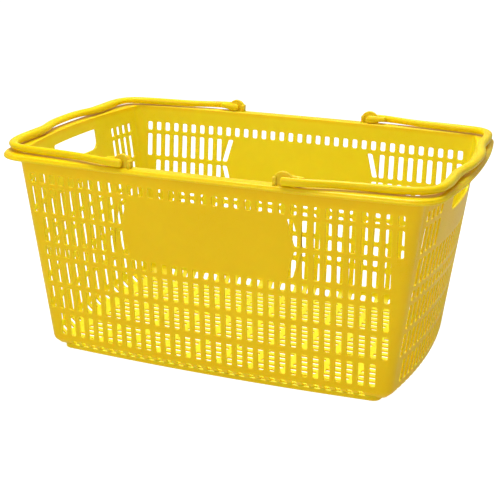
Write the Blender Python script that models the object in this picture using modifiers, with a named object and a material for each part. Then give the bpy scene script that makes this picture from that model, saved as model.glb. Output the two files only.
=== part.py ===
"""Shopping basket: a one-piece moulded plastic tub with two snap-in carrying handles.

Metres, +Z up. The origin is on the floor under the middle of the basket; X runs along the
length, Y along the depth. The tub is a thin shell drawn as stacked outlines, each made of four
bowed sides and four corner fillets, and its slots are cut afterwards by long boxes that pass
through both opposite walls at once.
"""

from math import cos, pi, radians, sin, sqrt

import bmesh
import bpy
from mathutils import Matrix, Vector

# ---------------------------------------------------------------- driving dimensions
PITCH = 0.0125                      # slot pitch along the long walls; most sizes follow it
WALL = 0.2 * PITCH                  # moulded wall thickness, 2.5 mm

TOP_Z = 19.2 * PITCH                # top of the rim, 240 mm
ROW_ONE_Z = 17.0 * PITCH            # centre of the uppermost slot row
BASE_Z = 0.35 * PITCH               # underside of the floor of the tub

# Inner surface of the walls, at the height of the uppermost slot row, and its taper.
DEPTH_HALF = 12.59 * PITCH
LENGTH_HALF = 19.49 * PITCH
DEPTH_TAPER = 0.0723
LENGTH_TAPER = 0.126
LONG_RADIUS = 216 * PITCH           # the long walls bow outwards on this radius
END_RADIUS = 51.5 * PITCH           # and the end walls on this one
CORNER = 1.4 * PITCH                # inner radius of the upright corners
CORNER_STEPS = 3                    # facets that round each corner
FLOOR_FILLET = 0.85 * PITCH         # inner radius between walls and floor

# The rim is a channel, open below, that stands out all round.
RIM_DEPTH_HALF = 14.0 * PITCH
RIM_LENGTH_HALF = 21.12 * PITCH
RIM_LONG_RADIUS = 375 * PITCH
RIM_END_RADIUS = 80 * PITCH
RIM_CORNER = 2.9 * PITCH
RIM_SHOULDER = 0.3 * PITCH
RIM_SKIRT = 0.45 * PITCH

# The foot is a thin ring under the floor.
FOOT_DEPTH_HALF = 10.95 * PITCH
FOOT_LENGTH_HALF = 16.0 * PITCH
FOOT_CORNER = 1.2 * PITCH
FOOT_WALL = 0.22 * PITCH

# Slot rows: height of the row's centre, height of its slots, and the number of columns on each
# side of the middle of a long wall and of an end wall.
SLOT_WIDTH = 0.52 * PITCH
ROW_TWO = (14.95 * PITCH, 2.4 * PITCH, 17, 11)
ROW_THREE = (12.095 * PITCH, 2.4 * PITCH, 16, 11)
ROW_FIVE = (8.06 * PITCH, 2.16 * PITCH, 16, 11)
ROW_SIX = (5.413 * PITCH, 2.16 * PITCH, 16, 11)
ROW_SEVEN = (2.717 * PITCH, 2.16 * PITCH, 15, 10)
PANEL_COLUMNS = 7                   # the blank panel covers this many columns either side
PANEL_SLANT = 0.65 * PITCH          # sideways lean of the slots along the panel's edges
END_PITCH = 0.95 * PITCH            # slot pitch along the end walls
HAND_COLUMNS = 7                    # columns that the blank round the hand hole takes away

# Hand hole in each end wall.
HAND_HALF = 4.1 * PITCH
HAND_LOW_Z = 15.9 * PITCH
HAND_HIGH_Z = 17.95 * PITCH
HAND_LOW_CORNER = 0.9 * PITCH
HAND_HIGH_CORNER = 0.2 * PITCH

# Length of the cutters that open both opposite walls at once.
LONG_CUT = 2.4 * DEPTH_HALF
END_CUT = 2.4 * LENGTH_HALF

# Openings of the floor.
FLOOR_SLOT = (5.6 * PITCH, 2.6 * PITCH)
FLOOR_STEP = (7.0 * PITCH, 4.6 * PITCH)
FLOOR_COUNT = (4, 4)

# Handle pivots, on ears that stand on the rim.
PIVOT_X = 7.4 * PITCH
PIVOT_Y = 13.25 * PITCH
PIVOT_Z = 19.63 * PITCH
EAR_THICKNESS = 0.28 * PITCH
EAR_RADIUS = 0.76 * PITCH
EAR_ROOT = 0.1 * PITCH              # how far an ear sinks into the top of the rim
STOP_FROM_PIVOT = 0.6 * PITCH
STOP_THICKNESS = 0.36 * PITCH
STOP_DEPTH = 0.78 * PITCH
STOP_RISE = 0.3 * PITCH             # top of the stop block above the pivot
PIN_RADIUS = 0.002
PIN_HOLE_RADIUS = 0.00235
PIN_LENGTH = 0.0019
PIN_SIDES = 16

# Handles: each leg starts as a forked club round its ear, then runs level over the rim.
FORK_SLOT = 0.35 * PITCH            # width of the slot that takes the ear
FORK_REACH = 1.15 * PITCH           # how far the slot runs up the leg from the pivot
CLUB_RADIUS = 0.385 * PITCH
CLUB_STRAIGHT = 0.7 * PITCH         # the club keeps its thickness this far from the pivot
CLUB_LENGTH = 2.0 * PITCH
LEG_RADIUS = 0.27 * PITCH
LEG_CLIMB = 5.0 * PITCH             # length over which a leg rises to clear the rim
LEG_Z = 19.95 * PITCH
GRIP_RADIUS = 0.42 * PITCH
GRIP_HALF = 7.5 * PITCH             # the bar is at full thickness this far from its middle
BAR_X = 20.5 * PITCH
BAR_Z = 19.78 * PITCH
BAR_BOW_RADIUS = 54 * PITCH
LEG_END_X = 17.3 * PITCH
LEG_END_Y = 12.85 * PITCH
BAR_END_Y = 10.0 * PITCH
HANDLE_SIDES = 10

BASKET_YELLOW = (0.76, 0.51, 0.016, 1)
HANDLE_YELLOW = (0.82, 0.60, 0.02, 1)


# ---------------------------------------------------------------- scene helpers
def clear_scene():
    for obj in list(bpy.data.objects):
        bpy.data.objects.remove(obj)


def new_collection(name):
    collection = bpy.data.collections.new(name)
    bpy.context.scene.collection.children.link(collection)
    return collection


def plastic(name, colour):
    material = bpy.data.materials.new(name)
    material.use_nodes = True
    shader = material.node_tree.nodes["Principled BSDF"]
    shader.inputs["Base Color"].default_value = colour
    shader.inputs["Roughness"].default_value = 0.3
    shader.inputs["Metallic"].default_value = 0.0
    return material


def object_from(name, mesh, collection):
    obj = bpy.data.objects.new(name, mesh)
    collection.objects.link(obj)
    return obj


def mesh_object(name, shape, collection):
    mesh = bpy.data.meshes.new(name)
    bmesh.ops.recalc_face_normals(shape, faces=shape.faces)
    shape.to_mesh(mesh)
    shape.free()
    return object_from(name, mesh, collection)


def cutter(obj):
    obj.hide_render = True
    obj.display_type = "WIRE"
    return obj


def boolean(obj, other, operation):
    modifier = obj.modifiers.new(other.name, "BOOLEAN")
    modifier.operation = operation
    modifier.solver = "EXACT"
    modifier.object = other


def curve_to_mesh(curve_object, collection):
    """The curve's evaluated mesh, with its caps welded, as a new object in its place."""
    bpy.context.view_layer.update()
    graph = bpy.context.evaluated_depsgraph_get()
    mesh = bpy.data.meshes.new_from_object(curve_object.evaluated_get(graph))
    shape = bmesh.new()
    shape.from_mesh(mesh)
    bmesh.ops.remove_doubles(shape, verts=shape.verts, dist=1e-6)
    bmesh.ops.recalc_face_normals(shape, faces=shape.faces)
    shape.to_mesh(mesh)
    shape.free()
    name = curve_object.name
    matrix = curve_object.matrix_world.copy()
    bpy.data.objects.remove(curve_object)
    made = object_from(name, mesh, collection)
    made.matrix_world = matrix
    return made


def flat_plate(name, outlines, thickness, matrix, collection):
    """Closed outlines in a plane, filled and given a thickness centred on that plane."""
    curve = bpy.data.curves.new(name, "CURVE")
    curve.dimensions = "2D"
    curve.fill_mode = "BOTH"
    curve.extrude = thickness / 2
    for outline in outlines:
        spline = curve.splines.new("POLY")
        spline.points.add(len(outline) - 1)
        for point, (x, y) in zip(spline.points, outline):
            point.co = (x, y, 0, 1)
        spline.use_cyclic_u = True
    plate = object_from(name, curve, collection)
    plate.matrix_world = matrix
    return curve_to_mesh(plate, collection)


def arc(centre_x, centre_y, radius, start, end, steps):
    """Points on an arc, both ends included; angles in degrees."""
    angles = [radians(start + (end - start) * i / steps) for i in range(steps + 1)]
    return [(centre_x + radius * cos(a), centre_y + radius * sin(a)) for a in angles]


def circle(radius, sides):
    return arc(0, 0, radius, 0, 360, sides)[:-1]


# ---------------------------------------------------------------- plan outlines
def fillet_centre(long_centre, end_centre, long_radius, end_radius, corner):
    """Centre of the fillet that touches both side arcs from inside."""
    to_long = long_radius - corner
    to_end = end_radius - corner
    across = end_centre - long_centre
    distance = across.length
    along = (to_long**2 - to_end**2 + distance**2) / (2 * distance)
    off = sqrt(to_long**2 - along**2)
    direction = across / distance
    normal = Vector((-direction.y, direction.x))
    found = [long_centre + direction * along + normal * off * side for side in (1, -1)]
    return max(found, key=lambda point: min(point.x, point.y))


def outline(length_half, depth_half, end_radius, long_radius, corner):
    """A closed plan outline, counter-clockwise, with the same point count whatever its size."""
    long_centre = Vector((0, depth_half - long_radius))
    end_centre = Vector((length_half - end_radius, 0))
    centre = fillet_centre(long_centre, end_centre, long_radius, end_radius, corner)
    end_touch = (centre - end_centre).normalized() * end_radius + end_centre
    long_touch = (centre - long_centre).normalized() * long_radius + long_centre

    quarter = []
    for column in (2, 5, 8):
        y = column * END_PITCH
        quarter.append(Vector((end_centre.x + sqrt(end_radius**2 - y**2), y)))
    start = end_touch - centre
    turn = start.angle(long_touch - centre)
    for step in range(CORNER_STEPS + 1):
        share = step / CORNER_STEPS
        quarter.append(centre + Matrix.Rotation(turn * share, 2) @ start)
    for column in (13.5, 10.5, 7.5, 4.5, 1.5):
        x = column * PITCH
        quarter.append(Vector((x, long_centre.y + sqrt(long_radius**2 - x**2))))

    half = quarter + [Vector((-p.x, p.y)) for p in reversed(quarter)]
    return half + [Vector((-p.x, -p.y)) for p in half]


def wall_outline(z, inset=0.0):
    """Inner surface of the walls at height z, moved in by inset."""
    rise = z - ROW_ONE_Z
    return outline(
        LENGTH_HALF + LENGTH_TAPER * rise - inset,
        DEPTH_HALF + DEPTH_TAPER * rise - inset,
        END_RADIUS,
        LONG_RADIUS,
        CORNER - inset,
    )


def rim_outline(inset):
    return outline(
        RIM_LENGTH_HALF - inset,
        RIM_DEPTH_HALF - inset,
        RIM_END_RADIUS,
        RIM_LONG_RADIUS,
        RIM_CORNER - inset,
    )


def tub_rings():
    """(outline, height) from the middle of the floor, up the inside and out over the rim."""
    floor_z = BASE_Z + WALL
    rings = []
    for angle in (90, 45, 0):
        inset = FLOOR_FILLET * (1 - cos(radians(angle)))
        z = floor_z + FLOOR_FILLET * (1 - sin(radians(angle)))
        rings.append((wall_outline(floor_z + FLOOR_FILLET, inset), z))
    rings.append((wall_outline(TOP_Z), TOP_Z))
    for angle in (90, 40, 0):
        inset = RIM_SHOULDER * (1 - cos(radians(angle)))
        z = TOP_Z - RIM_SHOULDER * (1 - sin(radians(angle)))
        rings.append((rim_outline(inset), z))
    rings.append((rim_outline(0), TOP_Z - RIM_SKIRT))
    return rings


# ---------------------------------------------------------------- basket body
def make_tub(collection):
    """The shell: a loft through the rings, closed by the floor, thickened outwards."""
    shape = bmesh.new()
    loops = []
    for points, z in tub_rings():
        loops.append([shape.verts.new((p.x, p.y, z)) for p in points])
    shape.faces.new(loops[0])
    for lower, upper in zip(loops, loops[1:]):
        for i in range(len(lower)):
            j = (i + 1) % len(lower)
            shape.faces.new((lower[i], upper[i], upper[j], lower[j]))
    mesh = bpy.data.meshes.new("basket_body")
    shape.to_mesh(mesh)
    shape.free()
    tub = object_from("basket_body", mesh, collection)
    thickness = tub.modifiers.new("wall", "SOLIDIFY")
    thickness.thickness = WALL
    thickness.offset = -1
    thickness.use_even_offset = True
    return tub


def make_foot(collection):
    """The ring the basket stands on, sunk a little into the floor."""
    height = BASE_Z + 0.5 * WALL
    rings = []
    for inset in (0.0, FOOT_WALL):
        corners = outline(
            FOOT_LENGTH_HALF - inset,
            FOOT_DEPTH_HALF - inset,
            END_RADIUS,
            LONG_RADIUS,
            FOOT_CORNER - inset,
        )
        rings.append([(p.x, p.y) for p in corners])
    place = Matrix.Translation((0, 0, height / 2))
    return cutter(flat_plate("foot_ring", rings, height, place, collection))


def rounded_rectangle(half, low, high, low_corner, high_corner):
    return (
        arc(half - low_corner, low + low_corner, low_corner, -90, 0, 4)
        + arc(half - high_corner, high - high_corner, high_corner, 0, 90, 2)
        + arc(-half + high_corner, high - high_corner, high_corner, 90, 180, 2)
        + arc(-half + low_corner, low + low_corner, low_corner, 180, 270, 4)
    )


def make_hand_hole(collection):
    """One long prism along X that opens both end walls."""
    hole = rounded_rectangle(
        HAND_HALF, HAND_LOW_Z, HAND_HIGH_Z, HAND_LOW_CORNER, HAND_HIGH_CORNER
    )
    along_x = Matrix(((0, 0, 1, 0), (1, 0, 0, 0), (0, 1, 0, 0), (0, 0, 0, 1)))
    return cutter(flat_plate("hand_hole_cutter", [hole], END_CUT, along_x, collection))


def add_box(shape, centre, size, lean=0.0):
    """A box; lean is how far its top stands over to +X relative to its bottom."""
    stretch = Matrix.Diagonal((*size, 1))
    stretch[0][2] = lean
    bmesh.ops.create_cube(shape, size=1, matrix=Matrix.Translation(centre) @ stretch)


def add_long_slot(shape, row, column, lean=0.0):
    z, height, _, _ = row
    size = (SLOT_WIDTH, LONG_CUT, height)
    add_box(shape, (column * PITCH, 0, z), size, lean)


def make_long_slots(collection):
    """Boxes along Y; beside the blank panel they lean, so that the panel is a hexagon."""
    shape = bmesh.new()
    beside_panel = PANEL_COLUMNS + 1
    for row, lean in ((ROW_TWO, -PANEL_SLANT), (ROW_THREE, PANEL_SLANT)):
        add_long_slot(shape, row, -beside_panel, -lean)
        add_long_slot(shape, row, beside_panel, lean)
        for column in range(beside_panel + 1, row[2] + 1):
            add_long_slot(shape, row, -column)
            add_long_slot(shape, row, column)
    for row in (ROW_FIVE, ROW_SIX, ROW_SEVEN):
        for column in range(-row[2], row[2] + 1):
            add_long_slot(shape, row, column)
    return cutter(mesh_object("long_wall_slot_cutter", shape, collection))


def make_end_slots(collection):
    """Boxes along X; the uppermost row stops short of the hand hole."""
    shape = bmesh.new()
    for row in (ROW_TWO, ROW_THREE, ROW_FIVE, ROW_SIX, ROW_SEVEN):
        z, height, _, columns = row
        first = HAND_COLUMNS if row is ROW_TWO else 0
        for column in range(first, columns):
            for side in (-1, 1):
                y = side * (column + 0.5) * END_PITCH
                add_box(shape, (0, y, z), (END_CUT, SLOT_WIDTH, height))
    return cutter(mesh_object("end_wall_slot_cutter", shape, collection))


def make_floor_slots(collection):
    shape = bmesh.new()
    across, deep = FLOOR_COUNT
    for i in range(across):
        for j in range(deep):
            x = (i - (across - 1) / 2) * FLOOR_STEP[0]
            y = (j - (deep - 1) / 2) * FLOOR_STEP[1]
            add_box(shape, (x, y, BASE_Z), (*FLOOR_SLOT, 4 * WALL))
    return cutter(mesh_object("floor_slot_cutter", shape, collection))


def ear_outline():
    """A domed tab round the pivot, in X and Z, with the pivot at (0, 0)."""
    root = TOP_Z - EAR_ROOT - PIVOT_Z
    tab = arc(0, 0, EAR_RADIUS, 0, 180, 8)
    return tab + [(-EAR_RADIUS, root), (EAR_RADIUS, root)]


def make_ear(collection, side_x, side_y):
    """One ear with its pin hole, and the stop block beside it."""
    upright = Matrix(((1, 0, 0, 0), (0, 0, -1, 0), (0, 1, 0, 0), (0, 0, 0, 1)))
    pivot = Vector((side_x * PIVOT_X, side_y * PIVOT_Y, PIVOT_Z))
    place = Matrix.Translation(pivot) @ upright
    hole = circle(PIN_HOLE_RADIUS, PIN_SIDES)
    name = f"ear_{'left' if side_x < 0 else 'right'}_{'front' if side_y < 0 else 'back'}"
    plate = flat_plate(name, [ear_outline(), hole], EAR_THICKNESS, place, collection)

    shape = bmesh.new()
    low = TOP_Z - EAR_ROOT
    high = PIVOT_Z + STOP_RISE
    x = pivot.x - side_x * (STOP_FROM_PIVOT + STOP_THICKNESS / 2)
    centre = (x, pivot.y, (low + high) / 2)
    add_box(shape, centre, (STOP_THICKNESS, STOP_DEPTH, high - low))
    stop = cutter(mesh_object(f"stop_{name}", shape, collection))
    return cutter(plate), stop


def make_body(parts, helpers):
    body = make_tub(parts)
    boolean(body, make_foot(helpers), "UNION")
    for side_x in (-1, 1):
        for side_y in (-1, 1):
            for piece in make_ear(helpers, side_x, side_y):
                boolean(body, piece, "UNION")
    boolean(body, make_hand_hole(helpers), "DIFFERENCE")
    boolean(body, make_long_slots(helpers), "DIFFERENCE")
    boolean(body, make_end_slots(helpers), "DIFFERENCE")
    boolean(body, make_floor_slots(helpers), "DIFFERENCE")
    body.data.materials.append(plastic("basket_polypropylene", BASKET_YELLOW))
    return body


# ---------------------------------------------------------------- handles
def club_stations():
    """(distance from the pivot, radius) along one leg: a domed end, a thick club, a taper."""
    stations = []
    for angle in (75, 50, 25):
        across = CLUB_RADIUS * cos(radians(angle))
        stations.append((-CLUB_RADIUS * sin(radians(angle)), across))
    stations.append((0.0, CLUB_RADIUS))
    stations.append((CLUB_STRAIGHT, CLUB_RADIUS))
    stations.append((CLUB_LENGTH, LEG_RADIUS))
    return stations


def leg_height(x):
    """The leg climbs from the pivot's height to clear the rim."""
    share = min(max((x - PIVOT_X - CLUB_STRAIGHT) / LEG_CLIMB, 0), 1)
    return PIVOT_Z + (LEG_Z - PIVOT_Z) * share * share * (3 - 2 * share)


def leg_depth(x):
    share = max((x - PIVOT_X - CLUB_LENGTH) / (LEG_END_X - PIVOT_X - CLUB_LENGTH), 0)
    return PIVOT_Y + (LEG_END_Y - PIVOT_Y) * share * share


def bar_x(y):
    """The bar across the end of the handle bows outwards."""
    return BAR_X - BAR_BOW_RADIUS + sqrt(BAR_BOW_RADIUS**2 - y**2)


def bar_radius(y):
    """Full thickness over the grip, thinning towards the corners."""
    share = min((LEG_END_Y - y) / (LEG_END_Y - GRIP_HALF), 1)
    return LEG_RADIUS + (GRIP_RADIUS - LEG_RADIUS) * share


def handle_half():
    """(x, y, z, radius) from the back pivot of the right-hand handle to the middle of its grip."""
    path = []
    for distance, radius in club_stations():
        x = PIVOT_X + distance
        path.append((x, PIVOT_Y, leg_height(x), radius))
    for step in range(1, 4):
        x = PIVOT_X + CLUB_LENGTH + (LEG_END_X - PIVOT_X - CLUB_LENGTH) * step / 3
        path.append((x, leg_depth(x), leg_height(x), LEG_RADIUS))

    corner_length = bar_x(BAR_END_Y) - LEG_END_X
    corner_depth = LEG_END_Y - BAR_END_Y
    for angle in (15, 30, 45, 60, 75):
        x = LEG_END_X + corner_length * sin(radians(angle))
        y = BAR_END_Y + corner_depth * cos(radians(angle))
        z = BAR_Z + (LEG_Z - BAR_Z) * cos(radians(angle))
        path.append((x, y, z, bar_radius(y)))
    for y in (BAR_END_Y, GRIP_HALF, 0.67 * GRIP_HALF, 0.33 * GRIP_HALF, 0):
        path.append((bar_x(y), y, BAR_Z, bar_radius(y)))
    return path


def handle_path(side_x):
    back = handle_half()
    front = [(x, -y, z, radius) for x, y, z, radius in reversed(back[:-1])]
    return [(side_x * x, y, z, radius) for x, y, z, radius in back + front]


def make_fork_cutter(name, side_x, collection):
    """Two slabs that split the ends of both legs round their ears."""
    shape = bmesh.new()
    beyond = 2 * CLUB_RADIUS
    for side_y in (-1, 1):
        centre = (side_x * (FORK_REACH - beyond) / 2, side_y * PIVOT_Y, 0)
        add_box(shape, centre, (FORK_REACH + beyond, FORK_SLOT, 4 * CLUB_RADIUS))
    return cutter(mesh_object(f"{name}_fork_cutter", shape, collection))


def make_pins(name, collection):
    """Short stub pins that point at each other across each fork."""
    shape = bmesh.new()
    sunk = 0.5 * PIN_LENGTH
    for side_y in (-1, 1):
        for face in (-1, 1):
            start = side_y * PIVOT_Y + face * (FORK_SLOT / 2 + sunk)
            middle = start - face * (PIN_LENGTH + sunk) / 2
            place = Matrix.Translation((0, middle, 0)) @ Matrix.Rotation(pi / 2, 4, "X")
            bmesh.ops.create_cone(
                shape,
                cap_ends=True,
                segments=PIN_SIDES,
                radius1=PIN_RADIUS,
                radius2=PIN_RADIUS,
                depth=PIN_LENGTH + sunk,
                matrix=place,
            )
    return cutter(mesh_object(f"{name}_pins", shape, collection))


def make_handle(name, side_x, parts, helpers):
    """A bail handle: one bent bar, thick at the grip, with a fork and pins at each end."""
    pivot = Vector((side_x * PIVOT_X, 0, PIVOT_Z))
    curve = bpy.data.curves.new(name, "CURVE")
    curve.dimensions = "3D"
    curve.bevel_depth = 1.0
    curve.bevel_resolution = (HANDLE_SIDES - 4) // 2
    curve.use_fill_caps = True
    curve.twist_mode = "Z_UP"
    path = handle_path(side_x)
    spline = curve.splines.new("POLY")
    spline.points.add(len(path) - 1)
    for point, (x, y, z, radius) in zip(spline.points, path):
        point.co = (x - pivot.x, y, z - pivot.z, 1)
        point.radius = radius
    bar = object_from(name, curve, parts)
    handle = curve_to_mesh(bar, parts)
    handle.location = pivot
    for helper, operation in (
        (make_fork_cutter(name, side_x, helpers), "DIFFERENCE"),
        (make_pins(name, helpers), "UNION"),
    ):
        helper.location = pivot
        boolean(handle, helper, operation)
    handle.data.materials.append(plastic(f"{name}_polypropylene", HANDLE_YELLOW))
    return handle


def main():
    clear_scene()
    parts = new_collection("shopping_basket")
    helpers = new_collection("helpers")
    make_body(parts, helpers)
    make_handle("left_handle", -1, parts, helpers)
    make_handle("right_handle", 1, parts, helpers)


main()
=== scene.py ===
"""Shopping basket: the finished look of a moulded yellow basket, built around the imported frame.

Lengths inside this script are in slot pitches of the long walls, because the basket's moulding
follows them; P turns them into metres. Wall surfaces are given by two numbers, u along the wall
and v up it, with v running on round the bottom radius, and by a depth from the outer face.
"""

from functools import lru_cache
from math import atan2, cos, pi, radians, sin, sqrt

import bmesh
import bpy
from mathutils import Matrix, Vector


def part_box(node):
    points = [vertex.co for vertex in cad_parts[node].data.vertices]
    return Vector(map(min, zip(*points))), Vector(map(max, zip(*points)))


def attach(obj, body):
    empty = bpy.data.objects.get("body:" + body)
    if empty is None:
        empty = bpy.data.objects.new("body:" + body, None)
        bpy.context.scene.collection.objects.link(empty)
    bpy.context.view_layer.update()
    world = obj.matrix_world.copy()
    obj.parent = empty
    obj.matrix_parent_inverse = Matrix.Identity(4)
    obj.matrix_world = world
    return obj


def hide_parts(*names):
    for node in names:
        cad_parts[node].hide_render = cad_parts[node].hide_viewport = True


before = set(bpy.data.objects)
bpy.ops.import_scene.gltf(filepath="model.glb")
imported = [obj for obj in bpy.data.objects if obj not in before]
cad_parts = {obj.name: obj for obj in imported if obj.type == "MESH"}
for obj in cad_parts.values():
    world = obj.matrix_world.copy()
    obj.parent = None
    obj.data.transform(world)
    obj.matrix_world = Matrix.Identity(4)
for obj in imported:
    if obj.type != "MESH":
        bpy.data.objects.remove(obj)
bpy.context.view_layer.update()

# ---- sizes, in slot pitches
BODY_LENGTH = 42.192      # of the basket body in the frame
BODY_LOW, BODY_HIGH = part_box("basket_body")
P = (BODY_HIGH.x - BODY_LOW.x) / BODY_LENGTH   # one slot pitch in metres
NEAR = 1e-6               # lengths closer than this are the same
WELD = 2e-6               # corner points closer than this, in metres, become one

WALL = 0.2                # wall thickness
TOP = 19.2                # top of the rim above the floor
ROW_ONE = 17.0            # height at which the walls are measured
BASE = 0.35               # underside of the floor

DEPTH_HALF = 12.59        # inner faces at ROW_ONE, and their tapers
LENGTH_HALF = 19.49
DEPTH_TAPER = 0.0723
LENGTH_TAPER = 0.126
LONG_RADIUS = 216.0       # bow of the long walls and of the end walls
END_RADIUS = 51.5
CORNER = 0.9              # inner radius of the upright corners
LEAST_CORNER = 0.04       # of an outline that is moved far inwards
FLOOR_FILLET = 0.85       # inner radius between walls and floor
FILLET_Z = BASE + WALL + FLOOR_FILLET
FILLET_MIDDLE = FLOOR_FILLET + WALL / 2
FLOOR_V = FILLET_Z - FILLET_MIDDLE * pi / 2

RIM_DEPTH = 13.98         # outer face of the rim, its bow and its corners
RIM_LENGTH = 21.08
RIM_LONG_RADIUS = 375.0
RIM_END_RADIUS = 80.0
RIM_CORNER = 2.9
RIM_ROOT = 0.32           # where the outer face of the walls ends, below the top of the rim

SLOT_WIDTH = 0.52
SLOT_CORNER = 0.15
EDGE = 0.045              # rounding of the slots' edges
CORNER_ARC = 4            # segments round each slot corner
UPRIGHT_ARC = 8           # segments round each upright corner
SLOT_MARGIN = 0.12        # least land between an outermost slot and the next cell

# Rows from the floor up: centre and height of the slots along v, columns either side of the
# middle of a long wall, and columns either side of the middle of an end wall.
ROWS = (
    ("eight", 0.6, 0.9, 14, 10),
    ("seven", 2.717, 2.16, 15, 10),
    ("six", 5.413, 2.16, 16, 11),
    ("five", 8.06, 2.16, 16, 11),
    ("four", 10.027, 0.9, 16, 11),
    ("three", 12.095, 2.4, 16, 11),
    ("two", 14.95, 2.4, 17, 11),
    ("one", 17.0, 0.9, 17, 11),
)
LOW_EDGES = (0.05, 1.1, 1.5)   # v below row eight, above it, and below row seven
TOP_EDGE = 17.68          # v above row one
LONG_COLUMNS = 17         # cells either side of the middle of a wall
END_COLUMNS = 11
END_PITCH = 0.95          # of the end walls' slots
THIRDS = (0.0, 0.36, 0.64, 1.0)   # where a cell is cut, as shares of its width

PANEL_COLUMNS = 7         # the blank hexagon covers this many columns either side
PANEL_SLANT = 0.65        # how far the slot beside the hexagon leans over its height
PANEL_SIDE_SHARE = 0.75   # of that slant, taken by the cell boundaries beside the slot
PANEL_SIDE_SHIFT = 0.08   # by which the boundary on the hexagon's side is moved inwards

HAND_COLUMNS = 7          # end columns taken by the blank round the hand hole
HAND_BLOCK = 5            # columns either side of the middle that the hand hole cuts into
HAND_HALF = 4.1           # half length of the hand hole
HAND_LOW = 15.92
HAND_HIGH = 17.95
HAND_LOW_CORNER = 0.9
HAND_HIGH_CORNER = 0.2
HAND_STEPS = 8            # segments round each corner of the hand hole
HAND_CUTS = [m * END_PITCH for m in range(-3, 4)]


# ---- mesh collecting
class Sheet:
    """Collects faces by their corner points; points that coincide are welded at the end."""

    def __init__(self):
        self.points = []
        self.faces = []

    def face(self, corners):
        start = len(self.points)
        self.points.extend(corners)
        self.faces.append(range(start, start + len(corners)))

    def band(self, lower, upper, closed=False):
        """Quads between two rows of points of the same length."""
        count = len(lower)
        for i in range(count if closed else count - 1):
            j = (i + 1) % count
            self.face((lower[i], lower[j], upper[j], upper[i]))

    def turned(self):
        """Adds a copy of everything, turned half a turn about the upright axis."""
        count = len(self.points)
        self.points.extend([(-x, -y, z) for x, y, z in self.points])
        self.faces.extend([range(f.start + count, f.stop + count) for f in list(self.faces)])

    def welded(self):
        mesh = bpy.data.meshes.new("sheet")
        mesh.from_pydata([(x * P, y * P, z * P) for x, y, z in self.points], [],
                         [tuple(f) for f in self.faces])
        shape = bmesh.new()
        shape.from_mesh(mesh)
        bpy.data.meshes.remove(mesh)
        bmesh.ops.remove_doubles(shape, verts=shape.verts, dist=WELD)
        return shape


def piece_from(name, shape, body, material):
    """A finished piece: normals out, smooth, riding on its body.

    Its normals are weighted, so that large flat faces stay flat beside their rounded edges.
    """
    bmesh.ops.recalc_face_normals(shape, faces=shape.faces)
    mesh = bpy.data.meshes.new(name)
    shape.to_mesh(mesh)
    shape.free()
    piece = bpy.data.objects.new(name, mesh)
    bpy.context.scene.collection.objects.link(piece)
    mesh.shade_smooth()
    mesh.materials.append(material)
    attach(piece, body)
    weighted = piece.modifiers.new("weighted_normals", "WEIGHTED_NORMAL")
    weighted.keep_sharp = True
    return piece


# ---- wall surfaces
@lru_cache(maxsize=None)
def plan(base_z, offset):
    """The plan outline of the walls at one height, moved out by offset.

    Returns the half depth, the half length, and the centre and radius of the corner fillet.
    """
    depth = DEPTH_HALF + DEPTH_TAPER * (base_z - ROW_ONE) + offset
    length = LENGTH_HALF + LENGTH_TAPER * (base_z - ROW_ONE) + offset
    radius = max(CORNER + offset, LEAST_CORNER)
    return (depth, length, *fillet_centre(depth, length, LONG_RADIUS, END_RADIUS, radius), radius)


def fillet_centre(depth, length, long_radius, end_radius, radius):
    """Centre of the fillet that touches both bowed sides from inside, in the first quadrant."""
    long_centre = Vector((0, depth - long_radius))
    end_centre = Vector((length - end_radius, 0))
    to_long = long_radius - radius
    to_end = end_radius - radius
    across = end_centre - long_centre
    distance = across.length
    along = (to_long**2 - to_end**2 + distance**2) / (2 * distance)
    off = sqrt(to_long**2 - along**2)
    direction = across / distance
    normal = Vector((-direction.y, direction.x))
    found = [long_centre + direction * along + normal * off * side for side in (1, -1)]
    centre = max(found, key=lambda point: min(point.x, point.y))
    return centre.x, centre.y


def bowed(half, side_radius, along):
    """How far out a bowed side lies, this far along it from its middle."""
    return half - side_radius + sqrt(side_radius**2 - along * along)


def tangent_at(centre, side_radius, radius):
    """How far along a bowed side its corner fillet begins."""
    return centre + centre / (side_radius - radius) * radius


def corner_arc(cx, cy, radius, first, last):
    """Points of a corner's arc in plan, between its ends first and last."""
    start = atan2(first[1] - cy, first[0] - cx)
    turn = atan2(last[1] - cy, last[0] - cx) - start
    points = []
    for step in range(1, UPRIGHT_ARC):
        angle = start + turn * step / UPRIGHT_ARC
        points.append((cx + radius * cos(angle), cy + radius * sin(angle)))
    return points


def section(v, depth_in):
    """(height whose outline applies, offset from it, z) of a point of the wall's section."""
    if v > TOP - RIM_ROOT - NEAR:
        return v, WALL - depth_in, v + depth_in
    if v >= FILLET_Z:
        return v, WALL - depth_in, v
    angle = min((FILLET_Z - v) / FILLET_MIDDLE, pi / 2)
    radius = FLOOR_FILLET + WALL - depth_in
    return FILLET_Z, radius * cos(angle) - FLOOR_FILLET, FILLET_Z - radius * sin(angle)


def outline_at(v, depth_in):
    """The z of a point of the wall's section, then the plan outline through it."""
    base, offset, z = section(v, depth_in)
    return (z, *plan(round(base, 6), round(offset, 6)))


def front_point(u, v, depth_in):
    """A point of the front wall, x = u; beyond the tangent it follows the corner fillet."""
    z, depth, _, cx, cy, radius = outline_at(v, depth_in)
    y = bowed(depth, LONG_RADIUS, u)
    if abs(u) > tangent_at(cx, LONG_RADIUS, radius):
        y = cy + sqrt(max(radius**2 - (abs(u) - cx)**2, 0))
    return (u, -y, z)


def right_point(u, v, depth_in):
    """A point of the right-hand wall, y = u; it follows the corner fillet in the same way."""
    z, _, length, cx, cy, radius = outline_at(v, depth_in)
    x = bowed(length, END_RADIUS, u)
    if abs(u) > tangent_at(cy, END_RADIUS, radius):
        x = cx + sqrt(max(radius**2 - (abs(u) - cy)**2, 0))
    return (x, u, z)


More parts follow.
